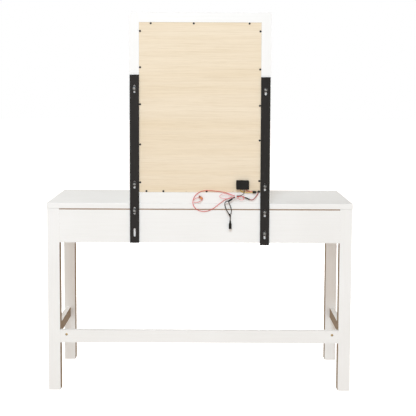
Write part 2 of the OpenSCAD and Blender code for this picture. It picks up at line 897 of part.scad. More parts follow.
module wire_curl() {
    color("firebrick") cord_tube(curl_route, thin_d);
}

module wire_small_loop() {
    color("palevioletred") cord_tube(small_loop_route, thin_d);
}

module lead_black() {
    color("black") cord_tube(lead_black_route, lead_d);
}

module lead_thin() {
    color("black") cord_tube(lead_thin_route, lead_thin_d);
}

module wire_bundle() {
    color("crimson") cord_tube(bundle_route, bundle_d);
}

module wire_black() {
    color("black") cord_tube(black_route, wire_d);
}

module wire_yellow() {
    color("gold") cord_tube(yellow_route, wire_d);
}

module wire_red() {
    color("red") cord_tube(red_route, wire_d);
}

tabletop();
leg(-1, front_y);  // leg_front_left
leg(1, front_y);  // leg_front_right
leg(-1, rear_leg_front);  // leg_rear_left
leg(1, rear_leg_front);  // leg_rear_right
foot_glides();
rear_apron();
side_aprons();
slide_battens();
front_top_rail();
front_bottom_rail();
centre_divider();
rear_stretcher();
side_stretchers();
frame_bolts();
barrel_nuts();
corner_brackets();
slide_cabinet_rails();
slide_mid_rails_left();
slide_mid_rails_right();
slide_drawer_rails_left();
slide_drawer_rails_right();
drawer_front_left();
drawer_front_right();
drawer_box_left();
drawer_box_right();
drawer_bottom_left();
drawer_bottom_right();
drawer_knob_left();
drawer_knob_right();
mirror_stile_left();
mirror_stile_right();
mirror_top_rail();
mirror_bottom_rail();
mirror_glass();
glass_clips();
backing_panel();
panel_screws();
lamp_sockets();
lamp_globes();
support_bar_left();
support_bar_right();
bar_screws();
bar_washers();
controller_base();
controller_board();
controller_lid();
cable_tie();
wire_connectors();
wire_sleeves();
dc_socket();
wire_loop();
wire_curl();
wire_small_loop();
lead_black();
lead_thin();
wire_bundle();
wire_black();
wire_yellow();
wire_red();
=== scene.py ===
import json
import math

import bmesh
import bpy
from mathutils import Matrix, Vector


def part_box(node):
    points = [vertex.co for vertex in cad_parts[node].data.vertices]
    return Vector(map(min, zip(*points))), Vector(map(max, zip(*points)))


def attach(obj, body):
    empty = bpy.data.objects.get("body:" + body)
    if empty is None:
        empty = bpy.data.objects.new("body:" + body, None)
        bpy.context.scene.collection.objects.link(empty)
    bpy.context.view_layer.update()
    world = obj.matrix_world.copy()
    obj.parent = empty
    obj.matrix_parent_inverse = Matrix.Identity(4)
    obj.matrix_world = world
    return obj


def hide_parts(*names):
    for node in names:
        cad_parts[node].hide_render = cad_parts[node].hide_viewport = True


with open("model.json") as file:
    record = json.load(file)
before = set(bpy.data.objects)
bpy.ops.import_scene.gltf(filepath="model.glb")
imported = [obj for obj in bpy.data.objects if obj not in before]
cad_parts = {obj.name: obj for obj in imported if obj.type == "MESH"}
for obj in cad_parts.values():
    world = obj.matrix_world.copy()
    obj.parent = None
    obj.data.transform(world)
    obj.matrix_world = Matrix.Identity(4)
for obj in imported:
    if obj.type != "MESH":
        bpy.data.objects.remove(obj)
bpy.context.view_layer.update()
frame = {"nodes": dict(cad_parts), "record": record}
scene = bpy.context.scene
MM = 0.001
X, Y, Z = 0, 1, 2
WHITE = (1.0, 1.0, 1.0)


def placed(name, data):
    """A new object in the scene, made of the given data."""
    obj = bpy.data.objects.new(name, data)
    scene.collection.objects.link(obj)
    return obj


# ---------------------------------------------------------------- camera
# The photo shows the table from behind, a little from above.
CAMERA_PLACE = (-0.0320, 4.1480, 1.2127)
CAMERA_PITCH = 0.0854
CAMERA_ROLL = 0.0040
CAMERA_LENS_MM = 86.81
CAMERA_SENSOR_MM = 36.0
CAMERA_SHIFT_Y = -0.09
CAMERA_SEES_TO = 60.0


def add_camera():
    """The photo's camera. A quarter turn less the pitch looks down by the pitch."""
    data = bpy.data.cameras.new("camera")
    data.lens = CAMERA_LENS_MM
    data.sensor_width = CAMERA_SENSOR_MM
    data.shift_y = CAMERA_SHIFT_Y
    data.clip_end = CAMERA_SEES_TO
    camera = placed("camera", data)
    camera.matrix_world = (
        Matrix.Translation(CAMERA_PLACE)
        @ Matrix.Rotation(math.pi, 4, "Z")
        @ Matrix.Rotation(math.pi / 2 - CAMERA_PITCH, 4, "X")
        @ Matrix.Rotation(CAMERA_ROLL, 4, "Z")
    )
    scene.camera = camera


add_camera()
scene.view_settings.view_transform = "Standard"
scene.view_settings.look = "None"


# ---------------------------------------------------------------- materials
# The Mix node has sockets of the same name for each data type, so these go by number.
MIX_FACTOR, MIX_COLOUR_A, MIX_COLOUR_B = 0, 6, 7
MIX_COLOUR_OUT = 2


class Look:
    """A Principled material with a few helpers for its pattern nodes."""

    def __init__(self, name, roughness, metallic=0.0, **sockets):
        self.mat = bpy.data.materials.new(name)
        self.mat.use_nodes = True
        self.tree = self.mat.node_tree
        self.shader = self.tree.nodes["Principled BSDF"]
        self.shader.inputs["Roughness"].default_value = roughness
        self.shader.inputs["Metallic"].default_value = metallic
        for socket, value in sockets.items():
            self.shader.inputs[socket.replace("_", " ")].default_value = value
        self.place = self.new("ShaderNodeTexCoord").outputs["Object"]
        self.last_bump = None

    def new(self, kind):
        return self.tree.nodes.new(kind)

    def link(self, a, b):
        self.tree.links.new(a, b)

    def stretched(self, scale):
        """Object coordinates multiplied by scale, one number for each axis."""
        node = self.new("ShaderNodeMapping")
        node.inputs["Scale"].default_value = scale
        self.link(self.place, node.inputs["Vector"])
        return node.outputs["Vector"]

    def noise(self, scale, detail=2.0, rough=0.5, distortion=0.0):
        """Noise over the object's metres: scale is a number, or one for each axis."""
        if not hasattr(scale, "__len__"):
            scale = (scale, scale, scale)
        node = self.new("ShaderNodeTexNoise")
        node.inputs["Scale"].default_value = 1.0
        node.inputs["Detail"].default_value = detail
        node.inputs["Roughness"].default_value = rough
        node.inputs["Distortion"].default_value = distortion
        self.link(self.stretched(scale), node.inputs["Vector"])
        return node.outputs["Fac"]

    def ramp(self, value, *stops):
        """A colour for each value; a stop is (position, (r, g, b))."""
        node = self.new("ShaderNodeValToRGB")
        ramp = node.color_ramp
        while len(ramp.elements) < len(stops):
            ramp.elements.new(0.5)
        for element, (position, colour) in zip(ramp.elements, stops):
            element.position = position
            element.color = (*colour, 1.0)
        self.link(value, node.inputs["Fac"])
        return node.outputs["Color"]

    def grey(self, value, low, high, start=0.3, end=0.7):
        """A number from low to high as the value goes from start to end."""
        node = self.new("ShaderNodeMapRange")
        for socket, number in zip(
            ("From Min", "From Max", "To Min", "To Max"), (start, end, low, high)
        ):
            node.inputs[socket].default_value = number
        self.link(value, node.inputs["Value"])
        return node.outputs["Result"]

    def mixed(self, factor, a, b, kind="MIX"):
        """Colours a and b mixed; the factor and b may be sockets or plain values."""
        node = self.new("ShaderNodeMix")
        node.data_type = "RGBA"
        node.blend_type = kind
        if hasattr(factor, "is_output"):
            self.link(factor, node.inputs[MIX_FACTOR])
        else:
            node.inputs[MIX_FACTOR].default_value = factor
        self.link(a, node.inputs[MIX_COLOUR_A])
        if hasattr(b, "is_output"):
            self.link(b, node.inputs[MIX_COLOUR_B])
        else:
            node.inputs[MIX_COLOUR_B].default_value = (*b, 1.0)
        return node.outputs[MIX_COLOUR_OUT]

    def colour(self, source):
        self.link(source, self.shader.inputs["Base Color"])
        return self

    def rough(self, source):
        self.link(source, self.shader.inputs["Roughness"])
        return self

    def bump(self, height, distance, strength):
        """Adds a relief, distance metres high, on top of the earlier ones."""
        node = self.new("ShaderNodeBump")
        node.inputs["Distance"].default_value = distance
        node.inputs["Strength"].default_value = strength
        self.link(height, node.inputs["Height"])
        if self.last_bump:
            self.link(self.last_bump, node.inputs["Normal"])
        self.last_bump = node.outputs["Normal"]
        self.link(self.last_bump, self.shader.inputs["Normal"])
        return self


def along_axis(axis, along, across):
    """Scale numbers that stretch a pattern along one axis."""
    return tuple(along if i == axis else across for i in (X, Y, Z))


def painted(axis):
    """Satin white paint over board, the faint grain along one axis."""
    look = Look("white_paint_" + "xyz"[axis], 0.4, Coat_Weight=0.12, Coat_Roughness=0.25)
    grain = look.noise(along_axis(axis, 5.0, 140.0), 3.0, 0.6)
    cloud = look.noise(3.2, 2.0)
    peel = look.noise(520.0, 2.0)
    tone = look.ramp(cloud, (0.3, (0.868, 0.862, 0.845)), (0.7, (0.9, 0.897, 0.884)))
    streak = look.ramp(grain, (0.35, (0.985, 0.983, 0.98)), (0.62, WHITE))
    look.colour(look.mixed(1.0, tone, streak, "MULTIPLY"))
    look.rough(look.grey(look.noise(38.0, 3.0), 0.34, 0.47))
    return look.bump(grain, 0.00012, 0.5).bump(peel, 0.00004, 0.6).mat


def unpainted_and_shaded_board(name, low, high):
    """Brown fibre: unpainted board, and painted shade where white boards' faces lie in
    shadow.
    """
    look = Look(name, 0.85)
    fibre = look.noise(900.0, 3.0, 0.7)
    tone = look.ramp(fibre, (0.3, low), (0.7, high))
    return look.colour(tone).bump(fibre, 0.0002, 0.8).mat


def pine():
    """Unpainted pine of the slide battens, which run along Y."""
    look = Look("pine", 0.62)
    rings = look.noise(along_axis(Y, 2.2, 62.0), 3.0, 0.55, 0.5)
    pores = look.noise(along_axis(Y, 14.0, 760.0), 2.0, 0.6)
    tone = look.ramp(
        rings,
        (0.3, (0.64, 0.44, 0.25)),
        (0.48, (0.74, 0.55, 0.34)),
        (0.66, (0.78, 0.61, 0.40)),
    )
    fleck = look.ramp(pores, (0.3, (0.86, 0.8, 0.72)), (0.6, WHITE))
    look.colour(look.mixed(1.0, tone, fleck, "MULTIPLY"))
    return look.bump(pores, 0.00015, 0.6).mat


def veneer():
    """Pale plywood of the backing panel: fine straight grain along X."""
    look = Look("backing_ply", 0.58)
    bands = look.noise((0.55, 1.0, 15.0), 3.0, 0.6, 0.35)
    grain = look.noise((5.5, 1.0, 205.0), 3.0, 0.62, 0.25)
    pores = look.noise((26.0, 1.0, 900.0), 2.0, 0.6)
    tone = look.ramp(
        bands,
        (0.28, (0.795, 0.66, 0.475)),
        (0.5, (0.825, 0.70, 0.53)),
        (0.72, (0.85, 0.737, 0.58)),
    )
    fibre = look.ramp(
        grain,
        (0.3, (0.94, 0.92, 0.88)),
        (0.5, (0.99, 0.987, 0.98)),
        (0.68, (1.02, 1.02, 1.015)),
    )
    fleck = look.ramp(pores, (0.28, (0.93, 0.91, 0.87)), (0.5, WHITE))
    tone = look.mixed(1.0, tone, fibre, "MULTIPLY")
    look.colour(look.mixed(0.8, tone, fleck, "MULTIPLY"))
    look.rough(look.grey(grain, 0.66, 0.5))
    return look.bump(grain, 0.00008, 0.5).bump(pores, 0.00005, 0.6).mat


def melamine():
    """White melamine of the drawer boards, with a faint printed texture."""
    look = Look("melamine", 0.45)
    dots = look.noise(700.0, 2.0)
    cloud = look.noise(5.0)
    look.colour(
        look.ramp(cloud, (0.3, (0.83, 0.82, 0.79)), (0.7, (0.87, 0.865, 0.84)))
    )
    look.rough(look.grey(dots, 0.38, 0.52))
    return look.bump(dots, 0.00004, 0.7).mat


def metal(name, colour, roughness, stretch=(30.0, 900.0), stained=0.12):
    """Metal with fine drawn lines along Y and stains that darken it a little."""
    look = Look(name, roughness, 1.0)
    lines = look.noise(along_axis(Y, *stretch), 3.0, 0.6)
    stain = look.noise(55.0, 3.0, 0.6)
    dark = tuple(c * (1.0 - stained) for c in colour)
    look.colour(look.ramp(stain, (0.32, dark), (0.62, colour)))
    look.rough(look.grey(lines, roughness * 0.78, roughness * 1.3))
    return look.bump(lines, 0.00003, 0.5).mat


def spangled(name, low, high, roughness):
    """Zinc plate with its small crystal patches."""
    look = Look(name, roughness, 1.0)
    cells = look.new("ShaderNodeTexVoronoi")
    cells.inputs["Scale"].default_value = 1.0
    look.link(look.stretched((330.0, 330.0, 330.0)), cells.inputs["Vector"])
    value = look.new("ShaderNodeRGBToBW")
    look.link(cells.outputs["Color"], value.inputs["Color"])
    look.colour(look.ramp(value.outputs["Val"], (0.2, low), (0.8, high)))
    look.rough(look.grey(look.noise(160.0, 3.0), roughness * 0.8, roughness * 1.35))
    return look.mat


def powder_coat():
    """Black textured powder coat of the flat bars, rubbed brown in places."""
    look = Look("black_steel", 0.5, Specular_IOR_Level=0.16)
    grit = look.noise(1500.0, 2.0, 0.7)
    cloud = look.noise((9.0, 9.0, 4.0), 3.0, 0.6)
    scuff = look.noise((260.0, 260.0, 30.0), 4.0, 0.65)
    tone = look.ramp(
        cloud, (0.3, (0.011, 0.0092, 0.008)), (0.7, (0.019, 0.0162, 0.0142))
    )
    worn = look.grey(scuff, 0.0, 0.55, 0.63, 0.74)
    look.colour(look.mixed(worn, tone, (0.075, 0.066, 0.058)))
    look.rough(look.grey(grit, 0.42, 0.58))
    return look.bump(grit, 0.00008, 0.8).mat


def plastic(name, low, high, roughness, grain=850.0, **sockets):
    """Moulded plastic with a spark-eroded texture."""
    look = Look(name, roughness, **sockets)
    grit = look.noise(grain, 2.0, 0.6)
    look.colour(look.ramp(look.noise(24.0, 3.0), (0.3, low), (0.7, high)))
    look.rough(look.grey(grit, roughness * 0.85, roughness * 1.2))
    return look.bump(grit, 0.00004, 0.7).mat


def insulation(name, low, high):
    """Soft PVC of a wire, slightly dusty and uneven."""
    look = Look(name, 0.38, Coat_Weight=0.15, Coat_Roughness=0.3)
    look.colour(look.ramp(look.noise(130.0, 3.0), (0.32, low), (0.68, high)))
    look.rough(look.grey(look.noise(600.0, 2.0), 0.32, 0.5))
    return look.bump(look.noise(380.0, 2.0), 0.00003, 0.6).mat


def silvered():
    """The silver behind clear glass, seen from the front."""
    look = Look("mirror_silver", 0.012, 1.0, Coat_Weight=1.0, Coat_Roughness=0.0)
    haze = look.noise(5.0, 2.0)
    look.colour(
        look.ramp(haze, (0.3, (0.90, 0.915, 0.91)), (0.7, (0.92, 0.93, 0.925)))
    )
    return look.mat


def mirror_back():
    """Grey protective paint on the back and the ground edge of the glass."""
    look = Look("mirror_back_paint", 0.5)
    streak = look.noise((4.0, 4.0, 90.0), 3.0)
    look.colour(
        look.ramp(streak, (0.3, (0.13, 0.145, 0.15)), (0.7, (0.18, 0.195, 0.2)))
    )
    return look.bump(streak, 0.00004, 0.5).mat


def opal():
    """Frosted opal plastic of a globe lamp, not lit."""
    look = Look("frosted_globe", 0.24, Coat_Weight=0.35, Coat_Roughness=0.12)
    cloud = look.noise(60.0, 2.0)
    look.colour(
        look.ramp(cloud, (0.3, (0.90, 0.885, 0.85)), (0.7, (0.93, 0.92, 0.89)))
    )
    look.rough(look.grey(look.noise(900.0, 2.0), 0.18, 0.32))
    return look.mat


def board_green():
    """Circuit board: solder mask over straight copper tracks."""
    look = Look("circuit_board", 0.3, Coat_Weight=0.5, Coat_Roughness=0.15)
    bricks = look.new("ShaderNodeTexBrick")
    turned = look.new("ShaderNodeMapping")
    turned.inputs["Rotation"].default_value = (math.pi / 2, 0.0, 0.0)
    turned.inputs["Scale"].default_value = (420.0, 420.0, 420.0)
    look.link(look.place, turned.inputs["Vector"])
    look.link(turned.outputs["Vector"], bricks.inputs["Vector"])
    for socket, value in (
        ("Color1", (0.01, 0.11, 0.045, 1.0)),
        ("Color2", (0.012, 0.13, 0.05, 1.0)),
        ("Mortar", (0.03, 0.24, 0.09, 1.0)),
    ):
        bricks.inputs[socket].default_value = value
    bricks.inputs["Scale"].default_value = 1.0
    bricks.inputs["Mortar Size"].default_value = 0.08
    look.colour(bricks.outputs["Color"])
    return look.bump(bricks.outputs["Fac"], 0.00003, 0.5).mat


PAINT = [painted(axis) for axis in (X, Y, Z)]
# Dark brown for unpainted board in bores, and painted shade on the inward faces of the
# legs and side stretchers.
UNPAINTED_AND_SHADE = unpainted_and_shaded_board("unpainted_and_shaded_board", (0.215, 0.142, 0.082), (0.305, 0.216, 0.136))
# Mid brown painted shade in the rear apron's groove under the tabletop.
GROOVE_SHADE = unpainted_and_shaded_board("painted_groove_shade", (0.50, 0.36, 0.25), (0.62, 0.47, 0.35))
SLIDE_STEEL = metal("slide_steel", (0.68, 0.69, 0.71), 0.26)
LOOKS = {
    "bare_wood": pine(),
    "drawer_board": melamine(),
    "glide_plastic": plastic(
        "glide_plastic", (0.05, 0.048, 0.045), (0.075, 0.07, 0.066), 0.5
    ),
    "zinc_steel": spangled("zinc_steel", (0.56, 0.57, 0.59), (0.76, 0.77, 0.78), 0.3),
    "yellow_zinc": spangled(
        "yellow_zinc", (0.34, 0.235, 0.11), (0.48, 0.35, 0.18), 0.34
    ),
    "knob_metal": metal("knob_metal", (0.70, 0.685, 0.66), 0.24, (900.0, 900.0), 0.05),
    "mirror_silver": silvered(),
    "backing_ply": veneer(),
    "dark_screw": plastic(
        "dark_screw", (0.005, 0.0043, 0.004), (0.010, 0.0085, 0.0075), 0.34, 1400.0,
        Specular_IOR_Level=0.3,
    ),
    "white_plastic": plastic(
        "white_plastic", (0.80, 0.795, 0.78), (0.85, 0.845, 0.83), 0.34
    ),
    "frosted_globe": opal(),
    "black_steel": powder_coat(),
    "black_plastic": plastic(
        "black_plastic", (0.007, 0.0058, 0.005), (0.013, 0.011, 0.0095), 0.5,
        Specular_IOR_Level=0.14,
    ),
    "circuit_board": board_green(),
    **{
        name: insulation(name, low, high)
        for name, low, high in (
            ("red_insulation", (0.56, 0.04, 0.04), (0.74, 0.085, 0.075)),
            ("dark_red", (0.30, 0.018, 0.016), (0.46, 0.04, 0.035)),
            ("pink_insulation", (0.72, 0.20, 0.22), (0.84, 0.33, 0.33)),
            ("black_insulation", (0.006, 0.0055, 0.0055), (0.014, 0.013, 0.012)),
            ("yellow_insulation", (0.68, 0.40, 0.02), (0.82, 0.56, 0.06)),
        )
    },
}


# ---------------------------------------------------------------- wires
FINE_STEPS = 16


def smooth_route(route, count):
    """Points evenly spaced on a Catmull-Rom curve through the route."""
    fine = []
    ends = [2 * route[0] - route[1], *route, 2 * route[-1] - route[-2]]
    for a, b, c, d in zip(ends, ends[1:], ends[2:], ends[3:]):
        for i in range(FINE_STEPS):
            t = i / FINE_STEPS
            fine.append(
                0.5
                * (2 * b + (c - a) * t + (2 * a - 5 * b + 4 * c - d) * t * t
                   + (3 * b - 3 * c + d - a) * t ** 3)
            )
    fine.append(route[-1])
    far = [0.0]
    for a, b in zip(fine, fine[1:]):
        far.append(far[-1] + (b - a).length)
    points, i = [], 0
    for k in range(count):
        want = far[-1] * k / (count - 1)
        while i < len(fine) - 2 and far[i + 1] < want:
            i += 1
        step = (want - far[i]) / max(far[i + 1] - far[i], 1e-9)
        points.append(fine[i].lerp(fine[i + 1], min(max(step, 0.0), 1.0)))
    return points


def wire(name, route, diameter, look, count):
    """A round wire as a curve of one open spline, with count points on the route."""
    data = bpy.data.curves.new(name, "CURVE")
    data.dimensions = "3D"
    data.bevel_depth = diameter / 2
    data.bevel_resolution = 3
    data.resolution_u = 5
    data.use_fill_caps = True
    points = smooth_route([Vector(p) * MM for p in route], count)
    spline = data.splines.new("BEZIER")
    spline.bezier_points.add(len(points) - 1)
    for bezier, point in zip(spline.bezier_points, points):
        bezier.co = point
        bezier.handle_left_type = bezier.handle_right_type = "AUTO"
    data.materials.append(LOOKS[look])
    return placed(name, data)


# The routes repeat those of the CAD source, in millimetres. A row is: CAD node,
# route, diameter and length in metres, look, far end and points on the curve.
# The last two are short strands at the cable tie that have no CAD node.
WIRE_ROUTES = [
    ("wire_loop", [
        (-140.9, 257, 780), (-128, 256.5, 784), (-117, 255, 787.5), (-102, 254, 792.5),
        (-84, 253.5, 796), (-61, 253.5, 799), (-31, 253.5, 801), (-8, 253.5, 798),
        (10, 253.5, 788), (22, 253.5, 774), (26.5, 253.5, 757), (24, 253.5, 741),
        (13, 253.5, 728), (-3, 253.5, 720.5), (-20, 253.5, 719), (-38, 253.5, 723),
        (-57, 253.5, 733), (-76, 253.5, 748), (-92, 253.5, 760.5), (-107, 254, 769),
        (-122, 255, 774), (-140.9, 256, 777),
    ], 0.0024, 0.398, "red_insulation", "object", 40),
    ("wire_curl", [
        (24, 256.2, 765.5), (9, 256.5, 773), (-4, 256.5, 776.5), (-12, 256.5, 770),
        (-6, 256.5, 761.5), (6, 256.5, 755.5), (24, 256.2, 754.5),
    ], 0.002, 0.084, "red_insulation", "object", 24),
    ("wire_small_loop", [
        (-140.9, 258.6, 774.5), (-122, 260, 771.5), (-100, 260, 770.5),
        (-84, 260, 772.5), (-78, 260, 779), (-84, 260, 786.5), (-100, 260, 789),
        (-120, 260, 785.5), (-140.9, 260, 779.5),
    ], 0.002, 0.135, "pink_insulation", "object", 28),
    ("lead_black", [
        (-140.9, 262, 776.5), (-133, 263, 773.5), (-124, 263.5, 768),
        (-114, 263.5, 761), (-104, 263.5, 759.5), (-98.5, 263, 752.5),
        (-99, 263, 741), (-104.5, 262.5, 727), (-112, 262, 714), (-118.5, 261, 704),
        (-119.5, 260, 694), (-119.5, 260, 685),
    ], 0.004, 0.123, "black_insulation", "connector", 26),
    ("lead_thin", [
        (-115.5, 259.4, 763.5), (-113.5, 259.4, 756), (-118, 259, 745),
        (-122.5, 258.5, 732), (-124, 258.5, 719), (-121.5, 258.3, 708),
    ], 0.0034, 0.058, "black_insulation", "object", 16),
    ("wire_bundle", [
        (-141.1, 257, 777), (-152, 257, 779), (-163, 257, 780), (-172, 257, 776.5),
        (-184, 257, 771.5), (-197, 257, 766.5), (-207, 257, 766), (-216, 257, 774),
        (-224, 257, 785), (-228.8, 256.5, 793),
    ], 0.0034, 0.104, "dark_red", "object", 24),
    ("wire_black", [
        (-174, 258.5, 808), (-173, 260, 797), (-170, 261, 789), (-162, 261.5, 783.5),
        (-141.1, 261, 780.5),
    ], 0.0024, 0.051, "black_insulation", "object", 16),
    ("wire_yellow", [
        (-158, 256, 808), (-160, 255.5, 800.5), (-169, 255.5, 796),
        (-183, 255.5, 793.5), (-196, 255.5, 793), (-206.5, 255.5, 793),
    ], 0.0024, 0.056, "yellow_insulation", "object", 16),
    ("wire_red", [
        (-179, 256, 808), (-184, 255.5, 801), (-195, 255.5, 798),
        (-206.5, 255.5, 798),
    ], 0.0024, 0.032, "red_insulation", "object", 15),
    ("tie_strand", [
        (-141.3, 262.6, 776.5), (-150, 263.2, 778.2), (-160, 263.2, 780.2),
        (-168, 262, 778.8), (-176, 261, 775.5),
    ], 0.0026, 0.036, "red_insulation", "object", 15),
    ("tie_loop", [
        (-141.3, 260.5, 773.5), (-150, 260.5, 770.5), (-160, 260, 765.5),
        (-169, 260, 766), (-172, 260, 771.5), (-168, 260.3, 776),
    ], 0.002, 0.041, "pink_insulation", "object", 15),
]
# The darker red is only a look; this table pairs it with the record's red insulation
# slot.
SLOT_OF_LOOK = {"dark_red": "red_insulation"}
WIRES = []
for node, route, diameter, length, look, far_end, count in WIRE_ROUTES:
    piece = wire(node + "_cord", route, diameter, look, count)
    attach(piece, "desk")
    SLOT_OF_LOOK.get(look, look)
    if node in frame["nodes"]:
        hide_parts(node)
    WIRES.append((piece, Vector(route[0]) * MM, length, diameter, far_end))


# ---------------------------------------------------------------- CAD pieces
WELD = 2e-6
FLAT_ANGLE = math.radians(0.5)
BEVEL_ANGLE = math.radians(32.0)
SHARP_ANGLE = math.radians(40.0)
BEVEL_SEGMENTS = 2


def body_of_node(node):
    """The body of the record that holds the node."""
    bodies = frame["record"]["behaviour"]["bodies"]
    return next(body for body, nodes in bodies.items() if node in nodes)


def softened(node, radius, materials, pick=None):
    """A copy of a CAD node that stands for it, its edges rounded to the radius.

    pick(face centre, face normal, low, high) gives the number of the face's
    material, where the piece has more than one.
    """
    low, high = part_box(node)
    mesh = bpy.data.meshes.new(node + "_piece")
    bm = bmesh.new()
    bm.from_mesh(frame["nodes"][node].data)
    bmesh.ops.remove_doubles(bm, verts=bm.verts, dist=WELD)
    bmesh.ops.dissolve_limit(
        bm, angle_limit=FLAT_ANGLE, verts=bm.verts, edges=bm.edges
    )
    bm.normal_update()
    if pick:
        for face in bm.faces:
            face.material_index = pick(face.calc_center_median(), face.normal, low, high)
    if radius:
        sharp = [
            e for e in bm.edges
            if len(e.link_faces) == 2 and e.calc_face_angle(0.0) > BEVEL_ANGLE
        ]
        bmesh.ops.bevel(
            bm, geom=sharp, offset=radius, offset_type="OFFSET",
            segments=BEVEL_SEGMENTS, profile=0.5, affect="EDGES",
            clamp_overlap=True, harden_normals=False, material=-1,
        )
    for face in bm.faces:
        face.smooth = True
    bm.to_mesh(mesh)
    bm.free()
    mesh.set_sharp_from_angle(angle=SHARP_ANGLE)
    obj = placed(mesh.name, mesh)
    for material in materials:
        mesh.materials.append(material)
    weighted = obj.modifiers.new("weighted", "WEIGHTED_NORMAL")
    weighted.keep_sharp = True
    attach(obj, body_of_node(node))
    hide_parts(node)
    return obj


INSIDE_BY = 0.0004  # a face is inside when its centre is this deep in the node's box
FACES_WITHIN = 0.9  # a face looks along an axis when its normal has this much of it
PAINTED_TO = 0.0065  # depth of the mirror frame's paint, just past its lip


def inside_unpainted_and_shaded(centre, normal, low, high):
    """Faces of bores and grooves, which lie inside the node's box, are brown: unpainted
    board, and painted shade in the rear apron's groove and on the side stretchers' inward
    faces.
    """
    return int(all(
        a + INSIDE_BY < c < b - INSIDE_BY for a, c, b in zip(low, centre, high)
    ))


def leg_unpainted_and_shaded(centre, normal, low, high):
    """The legs' faces towards the middle get dark brown painted shade, as the side
    stretchers' do; their bores are unpainted board.
    """
    inward = -math.copysign(1.0, centre.x)
    return int(
        normal.x * inward > FACES_WITHIN or inside_unpainted_and_shaded(centre, normal, low, high)
    )


def frame_is_raw(centre, normal, low, high):
    """In the mirror frame's recess, what lies behind the lip is unpainted board."""
    behind = centre.y > low.y + PAINTED_TO
    return int(behind and inside_unpainted_and_shaded(centre, normal, low, high))


# Painted nodes: node, axis of the grain and radius of the edges
PAINTED = [
    ("tabletop", X, 0.0016), ("leg_front_left", Z, 0.0014),
    ("leg_front_right", Z, 0.0014), ("leg_rear_left", Z, 0.0014),
    ("leg_rear_right", Z, 0.0014), ("rear_apron", X, 0.0008),
    ("side_aprons", Y, 0.0008), ("front_top_rail", X, 0.0008),
    ("front_bottom_rail", X, 0.0008), ("centre_divider", Y, 0.0006),
    ("rear_stretcher", X, 0.0012), ("side_stretchers", Y, 0.0012),
    ("drawer_front_left", X, 0.0015), ("drawer_front_right", X, 0.0015),
]
for node, axis, radius in PAINTED:
    pick = leg_unpainted_and_shaded if node.startswith("leg_") else inside_unpainted_and_shaded
    # The rear apron's groove gets mid brown painted shade; other boards get dark brown
    # for unpainted bores and painted shade.
    unpainted_and_shade = GROOVE_SHADE if node == "rear_apron" else UNPAINTED_AND_SHADE
    softened(node, radius, [PAINT[axis], unpainted_and_shade], pick=pick)
FRAME_RADIUS = 0.0005
for node, axis in (
    ("mirror_stile_left", Z), ("mirror_stile_right", Z),
    ("mirror_top_rail", X), ("mirror_bottom_rail", X),
):
    piece = softened(node, FRAME_RADIUS, [PAINT[axis], UNPAINTED_AND_SHADE], pick=frame_is_raw)

# Nodes whose rounded copy has one material: node, look and slot, and radius
PLAIN = [
    ("slide_battens", "bare_wood", 0.001), ("drawer_box_left", "drawer_board", 0.0005),
    ("drawer_box_right", "drawer_board", 0.0005),
    ("drawer_bottom_left", "drawer_board", 0.0003),
    ("drawer_bottom_right", "drawer_board", 0.0003),
    ("foot_glides", "glide_plastic", 0.0004), ("frame_bolts", "zinc_steel", 0.0003),
    ("barrel_nuts", "yellow_zinc", 0.0003), ("corner_brackets", "zinc_steel", 0.0004),
    ("glass_clips", "zinc_steel", 0.0001), ("backing_panel", "backing_ply", 0.0003),
    ("panel_screws", "dark_screw", 0.0001), ("bar_screws", "dark_screw", 0.0004),
    ("bar_washers", "dark_screw", 0.0002), ("lamp_sockets", "white_plastic", 0.0003),
    ("lamp_globes", "frosted_globe", 0.0), ("support_bar_left", "black_steel", 0.0005),
    ("support_bar_right", "black_steel", 0.0005),
    ("drawer_knob_left", "knob_metal", 0.0), ("drawer_knob_right", "knob_metal", 0.0),
    ("controller_base", "black_plastic", 0.0004),
    ("controller_lid", "black_plastic", 0.0004),
    ("controller_board", "circuit_board", 0.0002),
    ("cable_tie", "white_plastic", 0.0003),
    ("wire_connectors", "black_plastic", 0.0004),
    ("wire_sleeves", "black_plastic", 0.0005), ("dc_socket", "black_plastic", 0.0003),
]
PIECES = {}
for node, look, radius in PLAIN:
    PIECES[node] = softened(node, radius, [LOOKS[look]])
# The bars' screws share the slot of the panel's, but their heads are shiny.
BLACK_NICKEL = metal("black_nickel", (0.17, 0.165, 0.155), 0.24, (300.0, 300.0))
PIECES["bar_screws"].data.materials[0] = BLACK_NICKEL

SLIDE_RADIUS = 0.0003
for node in (
    "slide_cabinet_rails", "slide_mid_rails_left", "slide_mid_rails_right",
    "slide_drawer_rails_left", "slide_drawer_rails_right",
):
    softened(node, SLIDE_RADIUS, [SLIDE_STEEL])


def glass_face(centre, normal, low, high):
    """The silver shows on the front; the back and the edges are painted."""
    return 0 if normal.y < -FACES_WITHIN else 1


GLASS_RADIUS = 0.0004
GLASS_LOOKS = [LOOKS["mirror_silver"], mirror_back()]
softened("mirror_glass", GLASS_RADIUS, GLASS_LOOKS, pick=glass_face)

SPLICE_SIDES = 20
LUMPS, LUMP_TWIST, LUMP_HEIGHT = 3, 9.0, 0.05


